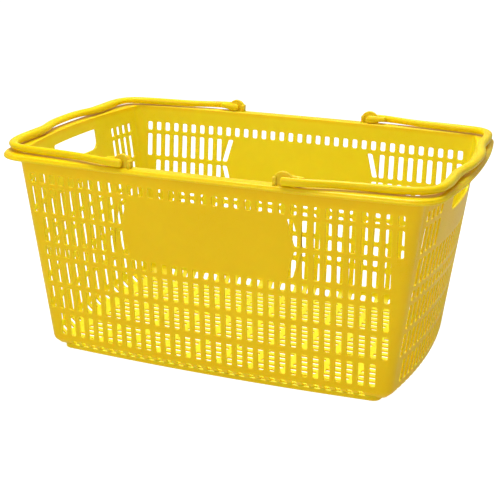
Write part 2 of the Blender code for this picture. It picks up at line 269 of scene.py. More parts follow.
def tangents(v):
    """How far along each wall the outer face runs before the corner fillet begins."""
    _, _, _, cx, cy, radius = outline_at(v, 0.0)
    return tangent_at(cx, LONG_RADIUS, radius), tangent_at(cy, END_RADIUS, radius)


# ---- rows and columns
def row_levels():
    """(name, [v0, va, vb, v1]) of every band of the walls, from the floor to the rim."""
    slots = [(name, c - h / 2, c + h / 2) for name, c, h, _, _ in ROWS]
    floor_edge, knuckle_edge, *edges = LOW_EDGES
    for (_, _, top), (_, low, _) in zip(slots[1:], slots[2:]):
        edges.append((top + low) / 2)
    edges.append(TOP_EDGE)
    bands = [
        ("bottom", spread(FLOOR_V, floor_edge)),
        ("eight", slot_levels(slots[0], floor_edge, knuckle_edge)),
        ("knuckle", spread(knuckle_edge, edges[0])),
    ]
    for slot, low, high in zip(slots[1:], edges, edges[1:]):
        bands.append((slot[0], slot_levels(slot, low, high)))
    bands.append(("top", spread(TOP_EDGE, TOP - RIM_ROOT)))
    return bands


def spread(low, high):
    """The two ends, and the two places between them where a cell is cut."""
    return [low + (high - low) * share for share in THIRDS]


def slot_levels(slot, low, high):
    """The two edges of a band, and between them the levels where the slots' corners end."""
    return [low, slot[1] + SLOT_CORNER, slot[2] - SLOT_CORNER, high]


BANDS = row_levels()
ROW_BY_NAME = {row[0]: row for row in ROWS}
BAND_COLUMNS = {name: (row[3], row[4]) for name, row in ROW_BY_NAME.items()}
for band_name, row_beside in (("bottom", "eight"), ("knuckle", "seven"), ("top", "one")):
    BAND_COLUMNS[band_name] = BAND_COLUMNS[row_beside]


def boundaries(count, edge_of, last, tangent):
    """Half-wall cell boundaries: exact up to the last slot, then squeezed before the corner."""
    exact = [edge_of(m) for m in range(last)]
    middle = edge_of(last) - 0.5 * (edge_of(last) - edge_of(last - 1))
    outer = middle + SLOT_WIDTH / 2 + SLOT_MARGIN
    spare = count - last
    end = max(tangent, outer + SLOT_MARGIN * spare)
    if spare == 0:
        return exact + [max(outer, min(tangent, edge_of(last)))]
    return exact + [outer + (end - outer) * i / spare for i in range(spare + 1)]


def long_boundaries(band, v):
    """u of every cell boundary of a long wall, left to right, inside one band."""
    last = BAND_COLUMNS[band][0]
    half = boundaries(LONG_COLUMNS, lambda m: m + 0.5, last, tangents(v)[0])
    return [-u for u in reversed(half)] + half


def end_boundaries(band, v):
    """The same for an end wall, whose middle lies between two columns."""
    last = BAND_COLUMNS[band][1]
    half = boundaries(END_COLUMNS, lambda m: m * END_PITCH, last, tangents(v)[1])
    return [-u for u in reversed(half[1:])] + half


def level_boundaries(which):
    """Cell boundaries of a wall at each level of each band; shared levels take the mean."""
    found = []
    for name, levels in BANDS:
        found.append([which(name, v) for v in levels])
    for lower, upper in zip(found, found[1:]):
        mean = [(a + b) / 2 for a, b in zip(lower[3], upper[0])]
        lower[3] = mean
        upper[0] = mean
    return found


def lean_panel_sides(levels_u):
    """Moves the boundaries beside the hexagon so that its leaning slots fit."""
    middle = LONG_COLUMNS + 0.5
    for (name, _), us in zip(BANDS, levels_u):
        if name not in ("two", "three"):
            continue
        sign = -1 if name == "two" else 1
        for side in (-1, 1):
            for columns, shift in ((0.5, PANEL_SIDE_SHIFT), (1.5, 0.0)):
                inner = PANEL_COLUMNS + columns
                index = round(middle + side * inner)
                for level, end in ((1, -1), (2, 1)):
                    lean = sign * end * PANEL_SLANT / 2 * PANEL_SIDE_SHARE
                    us[level][index] = side * (inner + lean - shift)


LONG_U = level_boundaries(long_boundaries)
END_U = level_boundaries(end_boundaries)
lean_panel_sides(LONG_U)


def between(levels_u, column):
    """The sixteen u of one cell: four across at each of its four levels."""
    return [spread(us[column], us[column + 1]) for us in levels_u]


# ---- cells
EDGE_MIDDLE = 0.3 * EDGE  # half-way round the edge's rounding
# Rings through a slot, from the outer face to the inner one: (width outside the slot, depth).
EDGE_RINGS = (
    (EDGE, 0.0),
    (EDGE_MIDDLE, EDGE_MIDDLE),
    (0.0, EDGE),
    (0.0, WALL - EDGE),
    (EDGE_MIDDLE, WALL - EDGE_MIDDLE),
    (EDGE, WALL),
)


def rounded_loop(cu, cv, half_u, half_v, radius, grow, lean=0.0):
    """Points round a slot, anticlockwise from the left end of its lower left corner."""
    loop = []
    for sign_u, sign_v, start in ((-1, -1, 180), (1, -1, 270), (1, 1, 0), (-1, 1, 90)):
        for step in range(CORNER_ARC + 1):
            angle = radians(start + 90 * step / CORNER_ARC)
            u = sign_u * (half_u - radius) + (radius + grow) * cos(angle)
            v = sign_v * (half_v - radius) + (radius + grow) * sin(angle)
            loop.append((cu + u + lean * v / (2 * half_v), cv + v))
    return loop


def ring_faces(us, vs, loop):
    """Faces between a cell's boundary and the loop round its slot, as (u, v) corners."""
    bottom = [(u, vs[0]) for u in us[0]]
    right = [(us[1][3], vs[1]), (us[2][3], vs[2])]
    top = [(u, vs[3]) for u in us[3]]
    left = [(us[1][0], vs[1]), (us[2][0], vs[2])]
    count = CORNER_ARC + 1
    middle = CORNER_ARC // 2
    # Each corner of the cell, between the boundary points before and after it.
    corners = (
        (left[0], bottom[0], bottom[1]),
        (bottom[2], bottom[3], right[0]),
        (right[1], top[3], top[2]),
        (top[1], top[0], left[1]),
    )
    faces = []
    for k, (before, at, after) in enumerate(corners):
        arc = loop[k * count:(k + 1) * count]
        following = (k + 1) % 4
        faces.append([before, at, *reversed(arc[:middle + 1])])
        faces.append([at, after, *reversed(arc[middle:])])
        faces.append([after, corners[following][0], loop[following * count], arc[-1]])
    return faces


def blank_faces(us, vs):
    faces = []
    for i in range(3):
        for j in range(3):
            faces.append([
                (us[i][j], vs[i]), (us[i][j + 1], vs[i]),
                (us[i + 1][j + 1], vs[i + 1]), (us[i + 1][j], vs[i + 1]),
            ])
    return faces


def add_faces(sheet, point, faces):
    """The same faces on the outer and on the inner surface."""
    for corners in faces:
        sheet.face([point(u, v, 0.0) for u, v in corners])
        sheet.face([point(u, v, WALL) for u, v in reversed(corners)])


def add_hole(sheet, point, loops):
    """The inside of a slot: loops[i] belongs to EDGE_RINGS[i]."""
    rings = []
    for loop, (_, depth_in) in zip(loops, EDGE_RINGS):
        rings.append([point(u, v, depth_in) for u, v in loop])
    for outer, inner in zip(rings, rings[1:]):
        sheet.band(inner, outer, closed=True)


def add_slot_cell(sheet, point, us, vs, centre, size, lean=0.0):
    cu, cv = centre
    loops = [
        rounded_loop(cu, cv, size[0] / 2, size[1] / 2, SLOT_CORNER, grow, lean)
        for grow, _ in EDGE_RINGS
    ]
    add_faces(sheet, point, ring_faces(us, vs, loops[0]))
    add_hole(sheet, point, loops)


# ---- walls
def slot_in_long_wall(name, column):
    """(centre u, lean) of the slot in one cell of a long wall, or None for a blank cell."""
    if name not in ROW_BY_NAME or abs(column) > ROW_BY_NAME[name][3]:
        return None
    if name in ("two", "three"):
        if abs(column) <= PANEL_COLUMNS:
            return None
        if abs(column) == PANEL_COLUMNS + 1:
            slant = PANEL_SLANT if column > 0 else -PANEL_SLANT
            return column, (-slant if name == "two" else slant)
    return column, 0.0


def add_front_wall(sheet):
    for (name, vs), levels_u in zip(BANDS, LONG_U):
        for index in range(2 * LONG_COLUMNS + 1):
            us = between(levels_u, index)
            slot = slot_in_long_wall(name, index - LONG_COLUMNS)
            if slot is None:
                add_faces(sheet, front_point, blank_faces(us, vs))
                continue
            _, cv, height, _, _ = ROW_BY_NAME[name]
            size = (SLOT_WIDTH, height)
            add_slot_cell(sheet, front_point, us, vs, (slot[0], cv), size, slot[1])


def add_right_wall(sheet):
    for (name, vs), levels_u in zip(BANDS, END_U):
        for index in range(2 * END_COLUMNS):
            number = index - END_COLUMNS
            out = number if number >= 0 else -number - 1
            if name in ("one", "two", "top") and out < HAND_BLOCK:
                continue
            us = between(levels_u, index)
            blank = name not in ROW_BY_NAME or out >= ROW_BY_NAME[name][4]
            if blank or (name in ("one", "two") and out < HAND_COLUMNS):
                add_faces(sheet, right_point, blank_faces(us, vs))
                continue
            _, cv, height, _, _ = ROW_BY_NAME[name]
            cu = (number + 0.5) * END_PITCH
            add_slot_cell(sheet, right_point, us, vs, (cu, cv), (SLOT_WIDTH, height))
    add_hand_block(sheet)


def hand_loop(grow):
    """Points round the hand hole, anticlockwise from the left end of its lower left corner.

    Each long edge has extra points at HAND_CUTS, so that the faces beside it stay short.
    """
    corners = []
    for side, edge_v, inward, radius, start in (
        (-1, HAND_LOW, 1, HAND_LOW_CORNER, 180),
        (1, HAND_LOW, 1, HAND_LOW_CORNER, 270),
        (1, HAND_HIGH, -1, HAND_HIGH_CORNER, 0),
        (-1, HAND_HIGH, -1, HAND_HIGH_CORNER, 90),
    ):
        arc = []
        for step in range(HAND_STEPS + 1):
            angle = radians(start + 90 * step / HAND_STEPS)
            u = side * (HAND_HALF - radius) + (radius + grow) * cos(angle)
            v = edge_v + inward * radius + (radius + grow) * sin(angle)
            arc.append((u, v))
        corners.append(arc)
    bottom = [(u, corners[0][-1][1]) for u in HAND_CUTS]
    top = [(u, corners[2][-1][1]) for u in reversed(HAND_CUTS)]
    return corners[0] + bottom + corners[1] + corners[2] + top + corners[3]


def hand_block_sides():
    """(u, v) of the block's left and right boundary, from row two up to the rim."""
    left, right = [], []
    for (name, vs), levels_u in zip(BANDS, END_U):
        if name not in ("two", "one", "top"):
            continue
        for level in range(0 if name == "two" else 1, 4):
            left.append((levels_u[level][END_COLUMNS - HAND_BLOCK], vs[level]))
            right.append((levels_u[level][END_COLUMNS + HAND_BLOCK], vs[level]))
    return left, right


def add_hand_block(sheet):
    """The land round the hand hole: short faces above and below it, one at each side."""
    left, right = hand_block_sides()
    low_v, high_v = left[0][1], left[-1][1]
    us = with_thirds([m * END_PITCH for m in range(-HAND_BLOCK, HAND_BLOCK + 1)])
    loops = [hand_loop(grow) for grow, _ in EDGE_RINGS]
    loop = loops[0]
    arc = HAND_STEPS + 1
    cuts = len(HAND_CUTS)
    low = loop[arc:arc + cuts]
    high = loop[3 * arc + cuts:3 * arc + 2 * cuts][::-1]
    faces = []
    for i in range(cuts - 1):
        inside = [u for u in us if HAND_CUTS[i] - NEAR < u < HAND_CUTS[i + 1] + NEAR]
        faces.append([(u, low_v) for u in inside] + [low[i + 1], low[i]])
        faces.append([high[i], high[i + 1]] + [(u, high_v) for u in reversed(inside)])

    outside = [u for u in us if u < HAND_CUTS[0] + NEAR]
    round_left = low[:1] + loop[:arc][::-1] + loop[-arc:][::-1] + high[:1]
    faces.append(
        [(u, low_v) for u in outside] + round_left
        + [(u, high_v) for u in reversed(outside)] + left[1:-1][::-1]
    )
    outside = [u for u in us if u > HAND_CUTS[-1] - NEAR]
    middle = loop[arc + cuts:3 * arc + cuts]
    round_right = high[-1:] + middle[::-1] + low[-1:]
    faces.append(
        [(u, low_v) for u in outside] + right[1:-1]
        + [(u, high_v) for u in reversed(outside)] + round_right
    )
    add_faces(sheet, right_point, faces)
    add_hole(sheet, right_point, loops)


def corner_points(v, depth_in, u_long, u_end):
    """Points of the front right corner, from the front wall to the right-hand wall."""
    z, _, _, cx, cy, radius = outline_at(v, depth_in)
    first = front_point(u_long, v, depth_in)
    last = right_point(-u_end, v, depth_in)
    arc = [(x, y, z) for x, y in corner_arc(cx, -cy, radius, first, last)]
    return [first, *arc, last]


def add_corners(sheet):
    """The front right and back right corners."""
    for (_, vs), long_u, end_u in zip(BANDS, LONG_U, END_U):
        for depth_in in (0.0, WALL):
            rows = [
                corner_points(vs[i], depth_in, long_u[i][-1], end_u[i][-1]) for i in range(4)
            ]
            for lower, upper in zip(rows, rows[1:]):
                sheet.band(lower, upper)
                sheet.band(mirrored(lower), mirrored(upper))


def mirrored(points):
    """The same points at the back, in the order that keeps them anticlockwise."""
    return [(x, -y, z) for x, y, z in reversed(points)]


# ---- rim
def half_ring(depth_in):
    """Half of the wall's top edge, anticlockwise: front, corner, right-hand wall, corner."""
    v = BANDS[-1][1][3]
    long_u, end_u = LONG_U[-1][3], END_U[-1][3]
    front = [front_point(u, v, depth_in) for u in with_thirds(long_u)]
    corner = corner_points(v, depth_in, long_u[-1], end_u[-1])
    right = [right_point(u, v, depth_in) for u in with_thirds(end_u)]
    return front + corner[1:-1] + right + mirrored(corner)[1:-1]


def with_thirds(us):
    """Cell boundaries, and the places between them where the cells are cut."""
    found = []
    for a, b in zip(us, us[1:]):
        found.extend(a + (b - a) * share for share in THIRDS[:3])
    return found + [us[-1]]


def half_rim_outline():
    """Outer edge of the rim in plan, point for point beside half_ring."""
    cx, cy = fillet_centre(RIM_DEPTH, RIM_LENGTH, RIM_LONG_RADIUS, RIM_END_RADIUS, RIM_CORNER)
    tangent_x = tangent_at(cx, RIM_LONG_RADIUS, RIM_CORNER)
    tangent_y = tangent_at(cy, RIM_END_RADIUS, RIM_CORNER)
    long_u, end_u = LONG_U[-1][3], END_U[-1][3]

    def front(u):
        x = u * tangent_x / long_u[-1]
        return (x, -bowed(RIM_DEPTH, RIM_LONG_RADIUS, x))

    def right(u):
        y = u * tangent_y / end_u[-1]
        return (bowed(RIM_LENGTH, RIM_END_RADIUS, y), y)

    corner = corner_arc(cx, -cy, RIM_CORNER, front(long_u[-1]), right(-end_u[-1]))
    back = [(x, -y) for x, y in reversed(corner)]
    return ([front(u) for u in with_thirds(long_u)] + corner
            + [right(u) for u in with_thirds(end_u)] + back)


# The rim's section, from the inner face over the top and back under the lip to the wall:
# (measured from, distance outwards, height below the top).
RIM_SECTION = (
    ("inner", 0.0, 0.12),
    ("inner", 0.035, 0.035),
    ("inner", 0.12, 0.0),
    ("outer", -0.42, 0.0),
    ("outer", -0.32, 0.015),
    ("outer", -0.2, 0.06),
    ("outer", -0.13, 0.13),
    ("outer", -0.11, 0.2),
    ("outer", -0.06, 0.245),
    ("outer", -0.01, 0.28),
    ("outer", 0.0, 0.34),
    ("outer", 0.0, 0.41),
    ("outer", -0.02, 0.45),
    ("outer", -0.06, 0.47),
    ("outer", -0.15, 0.47),
    ("outer", -0.19, 0.43),
    ("outer", -0.2, 0.34),
    ("outer", -0.27, 0.24),
    ("outer", -0.4, 0.2),
    ("wall", 0.12, 0.2),
    ("wall", 0.03, 0.23),
    ("wall", 0.0, 0.32),
)


def add_rim(sheet):
    inner, wall, outline = half_ring(WALL), half_ring(0.0), half_rim_outline()
    rows = []
    for origin, distance, below in RIM_SECTION:
        row = []
        for a, w, b in zip(inner, wall, outline):
            across = Vector((b[0] - a[0], b[1] - a[1])).normalized()
            start = {"inner": a, "outer": b, "wall": w}[origin]
            x = start[0] + across.x * distance
            y = start[1] + across.y * distance
            row.append((x, y, TOP - below))
        rows.append(row)
    for lower, upper in zip(rows, rows[1:]):
        last = [(-p[0][0], -p[0][1], p[0][2]) for p in (lower, upper)]
        sheet.band(lower + last[:1], upper + last[1:])


# ---- floor
FLOOR_COLUMNS = 10        # of slots, along the basket
FLOOR_ROWS = 19
FLOOR_STEP_X = 3.1        # from slot to slot
FLOOR_STEP_Y = 1.0
FLOOR_SLOT_LENGTH = 2.5
FLOOR_SLOT_WIDTH = 0.5
FLAT = 1e-3               # how far a point of the flat land may be off its height


def floor_point(u, v, depth_in):
    """A point of the floor, x = u and y = v."""
    return (u, v, BASE + depth_in)


def add_floor_grid(sheet):
    size = (FLOOR_SLOT_LENGTH, FLOOR_SLOT_WIDTH)
    for i in range(FLOOR_COLUMNS):
        for j in range(FLOOR_ROWS):
            cu = (i - (FLOOR_COLUMNS - 1) / 2) * FLOOR_STEP_X
            cv = (j - (FLOOR_ROWS - 1) / 2) * FLOOR_STEP_Y
            us = [spread(cu - FLOOR_STEP_X / 2, cu + FLOOR_STEP_X / 2)] * 4
            vs = spread(cv - FLOOR_STEP_Y / 2, cv + FLOOR_STEP_Y / 2)
            add_slot_cell(sheet, floor_point, us, vs, (cu, cv), size)


def close_floor(shape):
    """Fills the flat land between the grid and the walls, below and above."""
    for height in (BASE, BASE + WALL):
        open_edges = [
            e for e in shape.edges
            if e.is_boundary and all(abs(v.co.z / P - height) < FLAT for v in e.verts)
        ]
        bmesh.ops.triangle_fill(shape, edges=open_edges, use_beauty=True, normal=(0, 0, 1))


def make_shell(material):
    """Walls, corners, rim and floor in one closed mesh."""
    sheet = Sheet()
    add_front_wall(sheet)
    add_corners(sheet)
    add_right_wall(sheet)
    add_rim(sheet)
    sheet.turned()
    add_floor_grid(sheet)
    shape = sheet.welded()
    close_floor(shape)
    shell = piece_from("basket_shell", shape, "basket", material)
    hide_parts("basket_body")


# ---- foot and ears
FOOT_LENGTH = 16.5        # outer face of the foot ring
FOOT_DEPTH = 11.05
FOOT_CORNER = 0.75
FOOT_STEPS = 12           # segments along half of each side of the ring
# The ring's section: (inwards from the outer face, height above the floor).
FOOT_SECTION = (
    (0.03, 0.0),
    (0.0, 0.03),
    (0.0, 0.36),
    (-0.05, 0.40),
    (-0.05, 0.46),
    (0.22, 0.46),
    (0.22, 0.03),
    (0.19, 0.0),
)

PIVOT_X = 7.4
PIVOT_Y = 13.25
PIVOT_Z = 19.63
EAR_HEIGHT = 0.755        # of an ear above its pivot
EAR_MIDDLE = -0.08        # of its arch; the arch is wider towards the stop block
EAR_REACH = (0.8, 0.86)   # half width away from the stop block and towards it
EAR_ROOT = -0.5           # how far an ear runs down from its pivot, into the top of the rim
EAR_FLARE = ((0.0, -0.22), (0.03, -0.34), (0.1, -0.42), (0.13, EAR_ROOT))   # wider by, height
EAR_STEPS = 24            # segments over an ear's arch
EAR_HALF = 0.155          # half thickness of an ear
EAR_ROUND = 0.07
# The rounding of an ear's edge, as shares of EAR_ROUND: (in from its face, in from its edge).
EAR_EDGE = ((0.0, 1.0), (0.3, 0.3), (1.0, 0.0))
# The block that stops the handle, from the pivot: its reach in X, Y and Z.
STOP_BLOCK = ((-0.97, -0.64), (-0.33, 0.33), (EAR_ROOT, 0.28))
STOP_ROUND = 0.08


def loft(sheet, rings, closed=False):
    """Skin over rings of points; unless closed, flat caps on the first and the last."""
    following = rings[1:] + rings[:1] if closed else rings[1:]
    for ring, other in zip(rings, following):
        sheet.band(ring, other, closed=True)
    if not closed:
        sheet.face(rings[0][::-1])
        sheet.face(rings[-1])


def foot_outline(inset):
    """The closed plan outline of the foot ring, with bowed sides, moved in by inset."""
    length, depth, corner = FOOT_LENGTH - inset, FOOT_DEPTH - inset, FOOT_CORNER - inset
    cx, cy = fillet_centre(depth, length, LONG_RADIUS, END_RADIUS, corner)
    long_side, end_side = [], []
    for step in range(FOOT_STEPS + 1):
        x = tangent_at(cx, LONG_RADIUS, corner) * step / FOOT_STEPS
        y = tangent_at(cy, END_RADIUS, corner) * (1 - step / FOOT_STEPS)
        long_side.append((x, bowed(depth, LONG_RADIUS, x)))
        end_side.append((bowed(length, END_RADIUS, y), y))
    arc = corner_arc(cx, cy, corner, long_side[-1], end_side[0])
    quarter = long_side + arc + end_side
    half = quarter + [(x, -y) for x, y in reversed(quarter[:-1])]
    return half + [(-x, -y) for x, y in half[1:-1]]


def make_foot(material):
    sheet = Sheet()
    rings = [[(x, y, height) for x, y in foot_outline(inset)] for inset, height in FOOT_SECTION]
    loft(sheet, rings, closed=True)
    piece_from("foot_ring", sheet.welded(), "basket", material)


def ear_outline(inset):
    """The edge of a domed tab with a flared root, in X and Z round its pivot."""
    away, towards = EAR_REACH[0] - inset, EAR_REACH[1] - inset
    points = []
    for step in range(EAR_STEPS + 1):
        angle = pi * step / EAR_STEPS
        reach = away if step <= EAR_STEPS / 2 else towards
        points.append((EAR_MIDDLE + reach * cos(angle), (EAR_HEIGHT - inset) * sin(angle)))
    points.extend((EAR_MIDDLE - towards - wider, z) for wider, z in EAR_FLARE)
    points.extend((EAR_MIDDLE + away + wider, z) for wider, z in reversed(EAR_FLARE))
    return points


def rounded_box(low, high, radius, steps=3):
    """Rings up a box with rounded upright edges and a rounded top."""
    rings = []
    levels = [(low[2], 0.0)]
    for step in range(steps + 1):
        angle = pi / 2 * step / steps
        levels.append((high[2] - radius + radius * sin(angle), radius * (1 - cos(angle))))
    for z, inset in levels:
        ring = []
        for sx, sy, start in ((1, 1, 0), (-1, 1, 90), (-1, -1, 180), (1, -1, 270)):
            cx = (high[0] if sx > 0 else low[0]) - sx * radius
            cy = (high[1] if sy > 0 else low[1]) - sy * radius
            for step in range(steps + 1):
                angle = radians(start + 90 * step / steps)
                reach = radius - inset
                ring.append((cx + reach * cos(angle), cy + reach * sin(angle), z))
        rings.append(ring)
    return rings


def loft_at_pivot(sheet, rings, side_x, side_y):
    """Skin over rings that are given round the pivot of one of the four ears."""
    loft(sheet, [
        [(side_x * (PIVOT_X + x), side_y * (PIVOT_Y + y), PIVOT_Z + z) for x, y, z in ring]
        for ring in rings
    ])


def make_ears(material):
    """Four ears that stand on the rim, each with the block that stops its handle."""
    front = [(EAR_ROUND * face - EAR_HALF, EAR_ROUND * edge) for face, edge in EAR_EDGE]
    back = [(-y, inset) for y, inset in reversed(front)]
    ear = [[(x, y, z) for x, z in ear_outline(inset)] for y, inset in front + back]
    block = rounded_box(*zip(*STOP_BLOCK), STOP_ROUND)
    sheet = Sheet()
    for side_x in (-1, 1):
        for side_y in (-1, 1):
            loft_at_pivot(sheet, ear, side_x, side_y)
            loft_at_pivot(sheet, block, side_x, side_y)
    piece_from("handle_ears", sheet.welded(), "basket", material)


# ---- handles
# The bar of the right-hand handle, from its pivot to the middle of the grip:
# (x, y, z, width, height, depth of the groove along the top).
HANDLE_STATIONS = (
    (7.4, 13.66, 19.63, 0.46, 0.76, 0.0),
    (8.3, 13.67, 19.65, 0.46, 0.73, 0.0),
    (9.2, 13.53, 19.67, 0.53, 0.68, 0.0),
    (10.2, 13.3, 19.67, 0.57, 0.65, 0.0),
    (11.5, 12.99, 19.66, 0.57, 0.65, 0.0),
    (13.0, 12.77, 19.64, 0.57, 0.68, 0.0),
    (15.0, 12.58, 19.62, 0.6, 0.73, 0.0),
    (16.6, 12.42, 19.63, 0.66, 0.74, 0.5),
    (17.8, 12.22, 19.65, 0.72, 0.71, 1.0),
    (18.7, 11.9, 19.68, 0.78, 0.68, 1.0),
    (19.3, 11.38, 19.7, 0.82, 0.66, 1.0),
    (19.68, 10.7, 19.71, 0.84, 0.68, 1.0),
    (19.87, 9.8, 19.71, 0.86, 0.74, 1.0),
    (19.97, 8.5, 19.68, 0.87, 0.83, 1.0),
    (19.97, 7.0, 19.68, 0.86, 0.85, 1.0),
    (20.0, 5.8, 19.68, 0.85, 0.84, 1.0),
    (20.12, 4.7, 19.69, 0.85, 0.76, 0.6),
    (20.34, 3.6, 19.72, 0.86, 0.72, 0.0),
    (20.55, 2.4, 19.75, 0.87, 0.69, 0.0),
    (20.64, 1.2, 19.76, 0.86, 0.68, 0.0),
    (20.66, 0.0, 19.76, 0.86, 0.68, 0.0),
)
HANDLE_SMOOTHING = 6      # sections between two stations
HANDLE_SIDES = 40
GROOVE_ANGLE = 80         # where the groove lies, in degrees from the inner side up
GROOVE_HALF = 40          # its half width in degrees
GROOVE_DEPTH = 0.17       # share of the section's reach that it takes away
ARM_END = 0.24            # length of the rounded end beyond the pivot
ARM_END_STEPS = 4
ARM_END_QUARTER = 4.4     # steps to a point; the rounded end stops at a small flat before it
ARM_END_WIDTH = 0.4       # share of the bar's width that the rounded end keeps

LUG_FACE = 0.2            # where the lug begins, inwards from the middle of the ear
LUG_SIDES = 24
# The cone-shaped lug on the inner side of each ear, from the pivot:
# (x, middle height, height, thickness).
LUG_STATIONS = (
    (-0.385, 0.0, 0.1, 0.2),
    (-0.36, 0.0, 0.28, 0.28),
    (-0.28, 0.0, 0.52, 0.34),
    (-0.15, 0.0, 0.71, 0.38),
    (0.0, 0.0, 0.78, 0.4),
    (0.3, 0.01, 0.74, 0.4),
    (0.8, 0.05, 0.63, 0.37),
    (1.3, 0.09, 0.49, 0.33),
    (1.5, 0.1, 0.44, 0.31),
    (1.55, 0.1, 0.38, 0.27),
)
# The web that joins lug and bar beyond the ear, as two corners of a box from the pivot.
WEB_BOX = ((0.92, -0.3, -0.2), (1.5, 0.3, 0.2))
WEB_ROUND = 0.05
PIN_RADIUS = 0.16
PIN_HALF = 0.3
PIN_SIDES = 20


def spline(points, steps):
    """Catmull-Rom curve from a free end to a middle where the shape is mirrored in Y."""
    first = [2 * a - b for a, b in zip(points[0], points[1])]
    last = [-c if i == 1 else c for i, c in enumerate(points[-2])]
    padded = [first, *points, last]
    found = []
    for p0, p1, p2, p3 in zip(padded, padded[1:], padded[2:], padded[3:]):
        for step in range(steps):
            t = step / steps
            found.append([
                0.5 * (2 * b + (c - a) * t + (2 * a - 5 * b + 4 * c - d) * t * t
                       + (3 * b - a - 3 * c + d) * t**3)
                for a, b, c, d in zip(p0, p1, p2, p3)
            ])
    found.append(list(points[-1]))
    return found


def handle_section(centre, along, width, height, groove):
    """One ring of the handle, from its inner side up and over the top."""
    inward = Vector((along.y, -along.x, 0)).normalized()
    upward = inward.cross(along).normalized()
    ring = []
    for step in range(HANDLE_SIDES):
        angle = 360 * step / HANDLE_SIDES
        away = abs((angle - GROOVE_ANGLE + 180) % 360 - 180) / GROOVE_HALF
        dip = GROOVE_DEPTH * groove * (1 + cos(pi * away)) / 2 if away < 1 else 0
        reach = 1 - dip
        across = inward * (width / 2 * cos(radians(angle)) * reach)
        rise = upward * (height / 2 * sin(radians(angle)) * reach)
        ring.append(tuple(centre + across + rise))
    return ring


def add_rail(sheet):
    """The bent bar of the right-hand handle, from end to end."""
    half = spline(HANDLE_STATIONS, HANDLE_SMOOTHING)
    path = half + [[x, -y, z, w, h, g] for x, y, z, w, h, g in reversed(half[:-1])]
    centres = [Vector(station[:3]) for station in path]
    rings = []
    for i, station in enumerate(path):
        before, after = centres[max(i - 1, 0)], centres[min(i + 1, len(path) - 1)]
        rings.append(handle_section(centres[i], after - before, *station[3:]))
    for end, ring_centre in ((0, centres[0]), (-1, centres[-1])):
        last_ring = rings[end]
        cap = []
        for step in range(1, ARM_END_STEPS + 1):
            angle = pi / 2 * step / ARM_END_QUARTER
            width = ARM_END_WIDTH + (1 - ARM_END_WIDTH) * cos(angle)
            cap.append([
                (ring_centre.x + (x - ring_centre.x) * cos(angle) - ARM_END * sin(angle),
                 ring_centre.y + (y - ring_centre.y) * width,
                 ring_centre.z + (z - ring_centre.z) * cos(angle))
                for x, y, z in last_ring
            ])
        rings = cap[::-1] + rings if end == 0 else rings + cap
    loft(sheet, rings)


def add_lug(sheet, side_y):
    """The lug inside an ear, the web beyond the ear, and the pin through it."""
    lug = []
    for x, rise, height, thickness in LUG_STATIONS:
        ring = []
        for step in range(LUG_SIDES):
            angle = 2 * pi * step / LUG_SIDES
            y = -(LUG_FACE + thickness / 2 * (1 - cos(angle)))
            ring.append((x, y, rise + height / 2 * sin(angle)))
        lug.append(ring)
    web = rounded_box(*WEB_BOX, WEB_ROUND)
    angles = [2 * pi * step / PIN_SIDES for step in range(PIN_SIDES)]
    pin = [[(PIN_RADIUS * cos(a), y, PIN_RADIUS * sin(a)) for a in angles]
           for y in (-PIN_HALF, PIN_HALF)]
    for rings in (lug, web, pin):
        loft_at_pivot(sheet, rings, 1, side_y)


def make_handle(side_x, material):
    side = "left" if side_x < 0 else "right"
    bar, lugs = Sheet(), Sheet()
    add_rail(bar)
    add_lug(lugs, -1)
    add_lug(lugs, 1)
    for name, sheet in (("bar", bar), ("lugs", lugs)):
        sheet.points = [(side_x * x, side_x * y, z) for x, y, z in sheet.points]
        piece = piece_from(
            f"{side}_handle_{name}", sheet.welded(), f"{side}_carrier", material
        )
        if name == "bar":
            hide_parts(f"{side}_handle")


# ---- materials
class Nodes:
    """Short helpers for building a node tree."""

    def __init__(self, tree):
        self.tree = tree

    def add(self, kind, **settings):
        node = self.tree.nodes.new(kind)
        for name, value in settings.items():
            setattr(node, name, value)
        return node

    def link(self, source, target):
        self.tree.links.new(source, target)

    def value(self, target, value):
        """Feeds an input from a socket, or sets it to a constant."""
        if hasattr(value, "links"):
            self.link(value, target)
        else:
            target.default_value = value

    def noise(self, place, scale, detail, distortion=0.0):
        node = self.add("ShaderNodeTexNoise")
        self.link(place, node.inputs["Vector"])
        node.inputs["Scale"].default_value = scale
        node.inputs["Detail"].default_value = detail
        node.inputs["Distortion"].default_value = distortion
        return node.outputs["Fac"]

    def ramp(self, value, low, high, to_low, to_high):
        """Maps low..high to to_low..to_high, and holds the ends."""
        node = self.add("ShaderNodeMapRange")
        self.value(node.inputs["Value"], value)
        for name, number in zip(("From Min", "From Max", "To Min", "To Max"),
                                (low, high, to_low, to_high)):
            node.inputs[name].default_value = number
        return node.outputs["Result"]

    def stretch(self, noise, to_low, to_high):
        """Maps the range in which nearly all of a noise lies."""
        return self.ramp(noise, 0.3, 0.7, to_low, to_high)

    def math(self, operation, first, second):
        node = self.add("ShaderNodeMath", operation=operation)
        self.value(node.inputs[0], first)
        self.value(node.inputs[1], second)
        return node.outputs["Value"]

    def mix(self, share, first, second):
        node = self.add("ShaderNodeMix", data_type="RGBA")
        self.value(node.inputs["Factor"], share)
        for socket, colour in ((node.inputs[6], first), (node.inputs[7], second)):
            self.value(socket, colour if hasattr(colour, "links") else (*colour, 1))
        return node.outputs[2]


OUTER_YELLOW = (0.85, 0.60, 0.0)
# Paler, more lemon yellow of faces towards the middle: painted light that stands in for light
# coming through the walls.
INNER_PAINTED_LIGHT_YELLOW = (0.86, 0.70, 0.014)
# Paler yellow of the top of the basket's floor: painted light.
FLOOR_PAINTED_LIGHT_YELLOW = (0.93, 0.79, 0.04)
HANDLE_YELLOW = (0.88, 0.65, 0.0)
# Pale colour of worn edges, which also serves as a painted highlight along them.
SCUFF_AND_HIGHLIGHT_YELLOW = (1.0, 0.86, 0.16)

